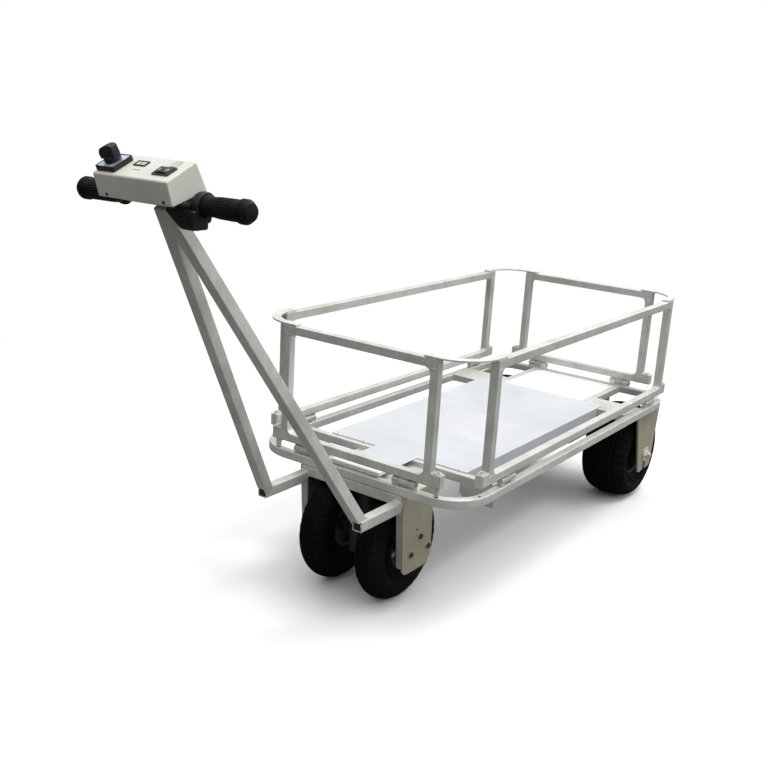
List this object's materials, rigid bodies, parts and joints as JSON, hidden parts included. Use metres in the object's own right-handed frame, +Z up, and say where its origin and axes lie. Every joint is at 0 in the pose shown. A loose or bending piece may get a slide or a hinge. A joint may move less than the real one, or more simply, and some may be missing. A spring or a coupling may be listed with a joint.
{
  "type": "game cart",
  "caption": "Powered pull-along cart: round-cornered tube chassis, fold-down basket gates, steered drive wheels under a V handle with a control box, and wide rear wheels.",
  "frame": {"origin": "the middle of the deck sheet's top face, in the middle of the chassis ring, 0.308 m above the ground; this is the deck_top mount", "axes": "+Z up; -Y towards the handle and the person pulling; +X to the right as that person sees the cart from the front"},
  "size_m": [0.6, 1.8301, 1.0158],
  "materials": {
    "ring_aluminium": "bare square tube, drawn and lightly scuffed, matt",
    "gate_aluminium": "bare square tube with welded corners, matt",
    "handle_aluminium": "bare square tube, matt",
    "deck_sheet": "smooth pale sheet, satin",
    "zinc_plate": "khaki grey coated steel plate, satin",
    "plain_steel": "zinc plated, satin",
    "tyre_rubber": "matt black rubber, lightly dusty",
    "rim_paint": "grey paint, satin",
    "box_paint": "pale grey powder coat, satin",
    "black_plastic": "moulded black plastic, fine texture",
    "grip_rubber": "ribbed black rubber, matt",
    "black_housing": "black paint, satin",
    "nylon": "natural nylon, plain"
  },
  "bodies": {
    "chassis": {"base_ring": "ring_aluminium", "front_cross_member": "ring_aluminium", "battery_bay_frame": "ring_aluminium", "deck_plate": "deck_sheet", "turntable_ring": "nylon", "battery_case": "black_housing", "battery_lid": "deck_sheet", "battery_pack": "black_housing", "left_gate_front_hinge_bracket": "plain_steel", "left_gate_front_hinge_pin": "plain_steel", "left_gate_rear_hinge_bracket": "plain_steel", "left_gate_rear_hinge_pin": "plain_steel", "right_gate_front_hinge_bracket": "plain_steel", "right_gate_front_hinge_pin": "plain_steel", "right_gate_rear_hinge_bracket": "plain_steel", "right_gate_rear_hinge_pin": "plain_steel", "front_gate_left_hinge_bracket": "plain_steel", "front_gate_left_hinge_pin": "plain_steel", "front_gate_right_hinge_bracket": "plain_steel", "front_gate_right_hinge_pin": "plain_steel", "rear_gate_left_hinge_bracket": "plain_steel", "rear_gate_left_hinge_pin": "plain_steel", "rear_gate_right_hinge_bracket": "plain_steel", "rear_gate_right_hinge_pin": "plain_steel", "rear_left_fork": "zinc_plate", "rear_left_axle": "plain_steel", "rear_left_axle_nut": "plain_steel", "rear_right_fork": "zinc_plate", "rear_right_axle": "plain_steel", "rear_right_axle_nut": "plain_steel"},
    "truck": {"truck_left_bracket": "zinc_plate", "truck_left_bearing_housing": "plain_steel", "truck_right_bracket": "zinc_plate", "truck_right_bearing_housing": "plain_steel", "truck_beam": "handle_aluminium", "handle_frame": "handle_aluminium", "kingpin": "plain_steel", "gear_case": "black_housing", "drive_motor": "black_housing", "handlebar": "plain_steel", "left_grip": "grip_rubber", "throttle_housing": "black_plastic", "control_box_cover": "box_paint", "control_box_base": "box_paint", "power_switch_base": "black_plastic"},
    "front_left_wheel": {"front_left_tyre": "tyre_rubber", "front_left_rim_and_shaft": "rim_paint"},
    "front_right_wheel": {"front_right_tyre": "tyre_rubber", "front_right_rim_and_shaft": "rim_paint"},
    "rear_left_wheel": {"rear_left_tyre": "tyre_rubber", "rear_left_rim": "rim_paint"},
    "rear_right_wheel": {"rear_right_tyre": "tyre_rubber", "rear_right_rim": "rim_paint"},
    "left_gate": {"left_gate": "gate_aluminium"},
    "right_gate": {"right_gate": "gate_aluminium"},
    "front_gate": {"front_gate": "gate_aluminium"},
    "rear_gate": {"rear_gate": "gate_aluminium"},
    "throttle_grip": {"throttle_grip": "grip_rubber"},
    "power_switch_knob": {"power_switch_knob": "black_plastic"},
    "direction_rocker": {"direction_rocker": "black_plastic"}
  },
  "joints": [
    {"name": "truck_steer", "type": "hinge", "parent": "chassis", "child": "truck", "pos_m": [0, -0.505, -0.0253], "axis": [0, 0, 1], "range_deg": [-40, 40]},
    {"name": "front_left_wheel_spin", "type": "hinge", "parent": "truck", "child": "front_left_wheel", "pos_m": [-0.08, -0.505, -0.1733], "axis": [1, 0, 0], "continuous": true},
    {"name": "front_right_wheel_spin", "type": "hinge", "parent": "truck", "child": "front_right_wheel", "pos_m": [0.08, -0.505, -0.1733], "axis": [1, 0, 0], "continuous": true},
    {"name": "rear_left_wheel_spin", "type": "hinge", "parent": "chassis", "child": "rear_left_wheel", "pos_m": [-0.197, 0.492, -0.1693], "axis": [1, 0, 0], "continuous": true},
    {"name": "rear_right_wheel_spin", "type": "hinge", "parent": "chassis", "child": "rear_right_wheel", "pos_m": [0.197, 0.492, -0.1693], "axis": [1, 0, 0], "continuous": true},
    {"name": "left_gate_fold", "type": "hinge", "parent": "chassis", "child": "left_gate", "pos_m": [-0.29, 0, 0.0092], "axis": [0, -1, 0], "range_deg": [0, 90]},
    {"name": "right_gate_fold", "type": "hinge", "parent": "chassis", "child": "right_gate", "pos_m": [0.29, 0, 0.0092], "axis": [0, 1, 0], "range_deg": [0, 90]},
    {"name": "rear_gate_fold", "type": "hinge", "parent": "chassis", "child": "rear_gate", "pos_m": [0, 0.574, 0.0092], "axis": [-1, 0, 0], "range_deg": [0, 90]},
    {"name": "front_gate_fold", "type": "hinge", "parent": "chassis", "child": "front_gate", "pos_m": [0, -0.574, 0.0092], "axis": [1, 0, 0], "range_deg": [0, 45]},
    {"name": "throttle_twist", "type": "hinge", "parent": "truck", "child": "throttle_grip", "pos_m": [0.155, -1.13, 0.6227], "axis": [1, 0, 0], "range_deg": [0, 70], "stiffness_Nm_per_rad": 0.2},
    {"name": "power_switch_turn", "type": "hinge", "parent": "truck", "child": "power_switch_knob", "pos_m": [-0.062, -1.17663, 0.68108], "axis": [0, -0.435, 0.9004], "range_deg": [0, 90]},
    {"name": "direction_rocker_tilt", "type": "hinge", "parent": "truck", "child": "direction_rocker", "pos_m": [0.055, -1.1734, 0.67209], "axis": [0, 0.9004, 0.435], "range_deg": [-8, 8]}
  ]
}
